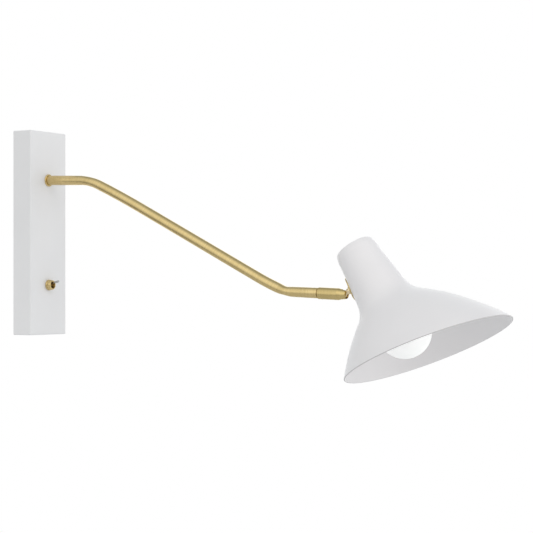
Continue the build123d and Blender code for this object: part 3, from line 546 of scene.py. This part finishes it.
# ------------------------------------------------------------------ toggle switch
SW = V(0, 0, SWITCH_Z)
OUT = V(0, -1, 0)
lathe("toggle_thin_nut", rounded([(27.6, 5.2), (27.6, 6.35), (28.8, 6.75), (30.0, 6.2), (30.0, 5.2)], [0, 0.3, 0.8, 0.4, 0]),
      SW, OUT, BRASS_Y, "wall_base", ["switch_nut"])


def knurl(s, r, ph, k):
    if r > 6.15 and 30.6 < s < 31.95:
        return r - (0.16 if k % 4 in (0, 1) else 0.0)
    return r


dn = [(30.0, 5.2), (30.0, 6.0), (30.5, 6.28), (30.7, 6.3), (31.0, 6.3), (31.4, 6.3), (31.8, 6.3), (32.0, 6.28), (34.55, 5.66), (34.8, 5.4), (34.8, 5.2)]
lathe("toggle_dress_nut", rounded(dn, [0, 0.15, 0, 0, 0, 0, 0, 0.1, 0.2, 0.1, 0]), SW, OUT, BRASS_Y, "wall_base",
      ["switch_dress_nut"], seg=192, mod=knurl)
thread = []
s = 27.0
while s < 34.2:
    thread += [(s, 5.2), (s + 0.25, 5.02), (s + 0.5, 5.2)]
    s += 0.75
lathe("toggle_bushing", [(26.4, 3.2), (26.4, 5.2)] + thread + rounded([(34.7, 5.2), (35.0, 5.0), (35.0, 4.35), (34.6, 4.15)], 0.08, closed=False)
      + [(30.0, 3.7)], SW, OUT, BRASS_Y, "wall_base", ["switch_bushing"])
LP = V(0, -26.2, SWITCH_Z)
L1 = down(-15.0)
lever = ([(-2.0, 0.0), (-2.0, 0.9), (-1.6, 2.0)] + [(x, math.sqrt(2.56 ** 2 - x * x)) for x in (-1.2, -0.6, 0.0, 0.6, 1.2)]
         + [(1.6, 2.0), (2.1, 1.45), (2.6, 1.05), (6.0, 1.08), (9.5, 1.15), (13.5, 1.36), (16.6, 1.53), (17.2, 1.55)]
         + [(17.2 + 1.6 * math.sin(math.radians(a)), 1.55 * math.cos(math.radians(a)) ** 0.8) for a in (20, 40, 55, 70, 80)] + [(18.8, 0.0)])
lathe("toggle_bat_lever", lever, LP, L1, M["lever_steel"], "toggle", ["switch_lever"], closed=False, seg=64, deg=60)

# ------------------------------------------------------------------ ball, stem and saddle
a0 = math.degrees(math.asin(2.55 / BALL_R))
lathe("ball_polished", arc(0, 0, BALL_R, a0, 180 - a0, 40), B, S1, BRASS_S_PAINTED_HIGHLIGHT, "ball", ["swivel_ball"], seg=128)
stem = [(-2.9, 1.7), (-2.9, 2.1), (-2.5, 2.5), (6.0, 2.5), (6.15, 2.7), (6.4, 3.35), (6.6, 3.65), (6.8, 3.75), (9.35, 3.75), (9.5, 3.9),
        (9.52, 5.0), (9.85, 5.3), (11.1, 5.3), (11.3, 5.15), (11.3, 4.0)]
s = 11.6
while s < 18.8:
    stem += [(s, 4.0), (s + 0.3, 3.78), (s + 0.6, 4.0)]
    s += 1.0
stem += [(19.3, 4.0), (19.6, 3.7), (19.6, 1.7)]
lathe("stem_turned", stem, B, S1, BRASS_S_PAINTED_HIGHLIGHT, "head", ["ball_stem"], seg=96)


def neck_hit(q, off):
    """How far along the stem direction, from points q, the neck's skin plus off lies."""
    lo, hi = np.full(len(q), 4.0), np.full(len(q), 24.0)
    for _ in range(50):
        mid = (lo + hi) / 2
        p = q + mid[:, None] * S1 - P_TOP
        t = p @ A1
        rad = np.linalg.norm(p - t[:, None] * A1, axis=1)
        outside = rad > R_SHADE(np.clip(t, 0, 176)) + off
        lo, hi = np.where(outside, mid, lo), np.where(outside, hi, mid)
    return (lo + hi) / 2


ring = [(4.06, 0.06)] + [(r, 0.06) for r in np.linspace(5, 14.0, 12)] + [(14.45, 0.09), (14.6, 0.3), (14.6, 1.0), (14.5, 1.22), (14.25, 1.34), (13.9, 1.36)] \
    + [(r, 1.36) for r in np.linspace(13, 5, 10)] + [(4.4, 1.36), (4.1, 1.3), (4.06, 1.15)]
SG = 120
verts = []
for rho, off in ring:
    ph = np.arange(SG) * 2 * math.pi / SG
    q = B + rho * (np.cos(ph)[:, None] * X1 + np.sin(ph)[:, None] * PUP)
    h = neck_hit(q, off)
    verts += list(q + h[:, None] * S1)
faces = []
for i in range(len(ring)):
    a, b = i * SG, ((i + 1) % len(ring)) * SG
    for k in range(SG):
        j = (k + 1) % SG
        faces.append((a + k, a + j, b + j, b + k))
build("saddle_bent", verts, faces, BRASS_SADDLE, "head", ["saddle_plate"], deg=50)

# ------------------------------------------------------------------ shade: spun, with an oblique rounded mouth
CK, SK = math.cos(math.radians(MOUTH_CUT)), math.sin(math.radians(MOUTH_CUT))
SP = 288


def outer_at(t):
    return t, R_SHADE(t)


def inner_at(t):
    th = np.arctan(R_SHADE(t, 1))
    return t + SHADE_T * np.sin(th), R_SHADE(t) - SHADE_T * np.cos(th)


def solve_t(fn, phi, h0, extra=0.0):
    lo, hi = np.full(len(phi), 80.0), np.full(len(phi), 176.0)
    for _ in range(50):
        mid = (lo + hi) / 2
        t, r = fn(mid)
        h = (t - MOUTH_AT) * CK + r * np.cos(phi) * SK
        lo, hi = np.where(h < h0, mid, lo), np.where(h < h0, hi, mid)
    return (lo + hi) / 2


phi = np.arange(SP) * 2 * math.pi / SP
cosp, sinp = np.cos(phi), np.sin(phi)
rows = []                                     # each row: (t array, r array)


def const_row(t, r):
    rows.append((np.full(SP, float(t)), np.full(SP, float(r))))


# closed end, shoulder
for r in (4.0, 9.0, 14.0, 18.0, 19.6):
    const_row(0.0, r)
for a in (0, 15, 30, 45, 60, 72):
    q = math.radians(a)
    const_row(2.0 * (1 - math.cos(q)), 20.2 + 2.05 * math.sin(q))
for t in np.concatenate([np.arange(2.6, 64, 1.6), np.arange(64, 70, 1.0)]):
    const_row(t, float(R_SHADE(t)))
t_out = solve_t(outer_at, phi, -0.42)
for w in np.linspace(0, 1, 56):
    tt = 70 + (t_out - 70) * w
    rows.append(outer_at(tt))
n_outer_end = len(rows)


def rim_row(fn, h0, inset):
    tt = solve_t(fn, phi, h0)
    t, r = fn(tt)
    th = np.arctan(R_SHADE(tt, 1))
    rows.append((t + inset * np.sin(th), r - inset * np.cos(th)))


rim_row(outer_at, -0.22, 0.06)
rim_row(outer_at, -0.06, 0.22)
rim_row(outer_at, 0.0, 0.42)
rim_row(outer_at, 0.0, 0.78)
rim_row(outer_at, -0.06, 0.98)
rim_row(outer_at, -0.22, 1.14)
t_in = solve_t(outer_at, phi, -0.42)
for w in np.linspace(1, 0, 50):
    tt = 70 + (t_in - 70) * w
    rows.append(inner_at(tt))
for t in np.concatenate([np.arange(69, 64, -1.5), np.arange(63, 5, -2.0)]):
    a, b = inner_at(np.array([t]))
    const_row(a[0], b[0])
for a in (0, 25, 50, 75, 90):
    q = math.radians(a)
    const_row(SHADE_T + 1.9 - 1.9 * math.sin(q), 19.4 + 2.3 * math.cos(q))
for r in (17.0, 12.0, 6.0):
    const_row(SHADE_T, r)
verts = [P_TOP + A1 * 0.0]
for t, r in rows:
    p = P_TOP + t[:, None] * A1 + r[:, None] * (cosp[:, None] * E1 + sinp[:, None] * XH)
    verts += list(p)
verts.append(P_TOP + A1 * SHADE_T)
faces = []
for k in range(SP):
    faces.append((0, 1 + (k + 1) % SP, 1 + k))
for i in range(len(rows) - 1):
    a, b = 1 + i * SP, 1 + (i + 1) * SP
    for k in range(SP):
        j = (k + 1) % SP
        faces.append((a + k, a + j, b + j, b + k))
e = 1 + (len(rows) - 1) * SP
for k in range(SP):
    faces.append((len(verts) - 1, e + k, e + (k + 1) % SP))


def cutter(o, axis, s0, s1, r, seg=64):
    e1, f1 = perp(axis)
    vs = []
    for s in (s0, s1):
        for k in range(seg):
            ph = 2 * math.pi * k / seg
            vs.append((o + axis * s + r * (e1 * math.cos(ph) + f1 * math.sin(ph))) * MM)
    fs = [tuple(range(seg))[::-1], tuple(range(seg, 2 * seg))]
    fs += [(k, (k + 1) % seg, seg + (k + 1) % seg, seg + k) for k in range(seg)]
    me = bpy.data.meshes.new("cutter")
    me.from_pydata([tuple(v) for v in vs], [], fs)
    c = bpy.data.objects.new("cutter", me)
    bpy.context.scene.collection.objects.link(c)
    return c


def on_rim_painted_shade(p):
    d = p - P_TOP
    return (d @ A1 - MOUTH_AT) * CK + (d @ E1) * SK > -0.36


# The rim's faces get a darker grey: painted shade standing in for the dark line along the mouth's edge.
RIM_PAINTED_SHADE = painted("m_white_shade_rim_painted_shade", (0.60, 0.585, 0.585), (0.64, 0.625, 0.625), (0.4, 0.5), 1300.0, 120.0, 1.0e-5)
build("shade_spun", verts, faces, M["white_shade"], "head", ["shade"], deg=40,
      boolean=cutter(B, S1, 9.0, 18.0, 4.05), second=(RIM_PAINTED_SHADE, on_rim_painted_shade))

# ------------------------------------------------------------------ lamp
LAMP_TIP, GT, GR = 34.2, 112.4, 30.0
gk = [(LAMP_TIP + 24.6, 11.5), (LAMP_TIP + 28.0, 12.6), (LAMP_TIP + 33.0, 14.1), (LAMP_TIP + 40.0, 17.0),
      (LAMP_TIP + 48.0, 21.2), (LAMP_TIP + 56.0, 25.4), (LAMP_TIP + 65.0, 28.6), (GT, GR)]
gk += [(GT + GR * math.sin(math.radians(a)), GR * math.cos(math.radians(a))) for a in (15, 30)]
gs = Natural([p[0] for p in gk], [p[1] for p in gk])
glass = [(t, float(gs(t))) for t in np.linspace(gk[0][0], GT, 60)]
glass += [(GT + GR * math.sin(math.radians(a)), GR * math.cos(math.radians(a))) for a in np.linspace(3, 87, 29)] + [(GT + GR, 0.0)]
inner = [(GT + GR - 1.0, 0.0)] + [(GT + (GR - 1) * math.sin(math.radians(a)), (GR - 1) * math.cos(math.radians(a))) for a in np.linspace(87, 3, 22)]
inner += [(t, float(gs(t)) - 1.0) for t in np.linspace(GT, gk[0][0], 40)]
e_, f_ = perp(A1)
# outer and inner skins meet at the open neck, so the two poles are separate
lathe_pts = glass + inner
verts, rings = [], []
SGL = 144
for s_, r_ in lathe_pts:
    if r_ < 1e-6:
        rings.append([len(verts)]); verts.append(P_TOP + A1 * s_)
    else:
        st = len(verts)
        for k in range(SGL):
            ph = 2 * math.pi * k / SGL
            verts.append(P_TOP + A1 * s_ + r_ * (e_ * math.cos(ph) + f_ * math.sin(ph)))
        rings.append(list(range(st, st + SGL)))
faces = []
for i in range(len(rings)):
    a, b = rings[i], rings[(i + 1) % len(rings)]
    if len(a) == 1 and len(b) == 1:
        continue
    for k in range(SGL):
        j = (k + 1) % SGL
        if len(a) == 1:
            faces.append((a[0], b[j], b[k]))
        elif len(b) == 1:
            faces.append((a[k], a[j], b[0]))
        else:
            faces.append((a[k], a[j], b[j], b[k]))
build("lamp_glass", verts, faces, M["frosted_glass"], "head", ["bulb_glass"], deg=60)

# ------------------------------------------------------------------ floor, light, camera
me = bpy.data.meshes.new("floor")
fz, fs_ = -0.62, 1.12
me.from_pydata([(-fs_, -fs_ - 0.3, fz), (fs_, -fs_ - 0.3, fz), (fs_, fs_ - 0.3, fz), (-fs_, fs_ - 0.3, fz)], [], [(0, 1, 2, 3)])
floor = bpy.data.objects.new("floor", me)
bpy.context.scene.collection.objects.link(floor)
fm, nt, bs = new_mat("m_pale_floor")
fn = noise(nt, obj_coords(nt), 6.0, 3.0)
link(nt, mix_col(nt, remap(nt, fn.outputs["Fac"], 0, 1), (0.80, 0.80, 0.80), (0.83, 0.83, 0.83)), bs.inputs["Base Color"])
bs.inputs["Roughness"].default_value = 0.7
me.materials.append(fm)


def area(name, loc, target, size, power, color=(1, 1, 1), size_y=None):
    l = bpy.data.lights.new(name, "AREA")
    l.shape = "RECTANGLE"
    l.size, l.size_y = size, size_y or size
    l.energy = power
    l.color = color
    o = bpy.data.objects.new(name, l)
    bpy.context.scene.collection.objects.link(o)
    o.location = loc
    d = Vector(target) - Vector(loc)
    o.rotation_euler = d.to_track_quat("-Z", "Y").to_euler()
    return o


TGT = (0, -0.3, -0.03)
area("key_softbox", (-0.9, -2.0, 1.7), TGT, 1.6, 5.77)
area("right_softbox", (1.5, -2.3, 0.9), TGT, 1.3, 0.236)

# soft light from all round: broad lobes, one line each (direction, red, green, blue)
LOBES = []
for i in range(20):
    z = 1 - (i + 0.5) / 10
    rr, th = math.sqrt(1 - z * z), i * math.pi * (3 - math.sqrt(5))
    LOBES.append((rr * math.cos(th), rr * math.sin(th), z))
LOBE_K = 6.0
LOBE_W = [
    (0.239, 0.255, 0.261),
    (0.655, 0.685, 0.694),
    (0.434, 0.452, 0.466),
    (0.140, 0.170, 0.187),
    (0.925, 0.923, 0.914),
    (0.127, 0.159, 0.178),
    (0.327, 0.314, 0.303),
    (0.727, 0.704, 0.685),
    (1.750, 1.769, 1.754),
    (0.925, 0.951, 0.956),
    (1.415, 1.430, 1.441),
    (0.481, 0.513, 0.529),
    (0.100, 0.100, 0.100),
    (0.105, 0.107, 0.115),
    (0.100, 0.100, 0.100),
    (0.718, 0.723, 0.707),
    (1.083, 1.106, 1.113),
    (0.100, 0.100, 0.100),
    (0.465, 0.466, 0.465),
    (0.319, 0.324, 0.328),
]
w = bpy.data.worlds.new("studio")
bpy.context.scene.world = w
w.use_nodes = True
wn = w.node_tree
bg = wn.nodes.get("Background")
lp = wn.nodes.new("ShaderNodeLightPath")
bg2 = wn.nodes.new("ShaderNodeBackground")
mixs = wn.nodes.new("ShaderNodeMixShader")
way = wn.nodes.new("ShaderNodeTexCoord").outputs["Generated"]
total = None
for i, (d, c) in enumerate(zip(LOBES, LOBE_W)):
    dp = wn.nodes.new("ShaderNodeVectorMath"); dp.operation = "DOT_PRODUCT"
    wn.links.new(way, dp.inputs[0]); dp.inputs[1].default_value = d
    mx = wn.nodes.new("ShaderNodeMath"); mx.operation = "MAXIMUM"
    wn.links.new(dp.outputs["Value"], mx.inputs[0]); mx.inputs[1].default_value = 0.0
    pw = wn.nodes.new("ShaderNodeMath"); pw.operation = "POWER"
    wn.links.new(mx.outputs[0], pw.inputs[0]); pw.inputs[1].default_value = LOBE_K
    ma = wn.nodes.new("ShaderNodeVectorMath"); ma.operation = "MULTIPLY_ADD"
    ma.name = "lobe_%02d" % i
    wn.links.new(pw.outputs[0], ma.inputs[0]); ma.inputs[1].default_value = c
    if total is None:
        ma.inputs[2].default_value = (0, 0, 0)
    else:
        wn.links.new(total, ma.inputs[2])
    total = ma.outputs["Vector"]
wn.links.new(total, bg.inputs["Color"])
bg.inputs["Strength"].default_value = 1.0
bg2.inputs["Color"].default_value = (1, 1, 1, 1)
bg2.inputs["Strength"].default_value = 1.0
wn.links.new(lp.outputs["Is Camera Ray"], mixs.inputs["Fac"])
wn.links.new(bg.outputs[0], mixs.inputs[1])
wn.links.new(bg2.outputs[0], mixs.inputs[2])
wn.links.new(mixs.outputs[0], wn.nodes.get("World Output").inputs["Surface"])
bpy.context.scene.view_settings.view_transform = "Standard"
bpy.context.scene.view_settings.look = "None"

cam = bpy.data.cameras.new("camera")
cam.sensor_fit = "HORIZONTAL"
cam.sensor_width = 36.0
cam.lens = 1617.797 / 533 * 36.0
cam.shift_x = 0.0
cam.shift_y = (288.291 - 266.5) / 533
cam.clip_start, cam.clip_end = 0.01, 50.0
co = bpy.data.objects.new("camera", cam)
bpy.context.scene.collection.objects.link(co)
co.location = (-1.57948, -1.32877, -0.068958)
co.rotation_euler = (math.radians(90), 0, math.radians(-58.195))
bpy.context.scene.camera = co
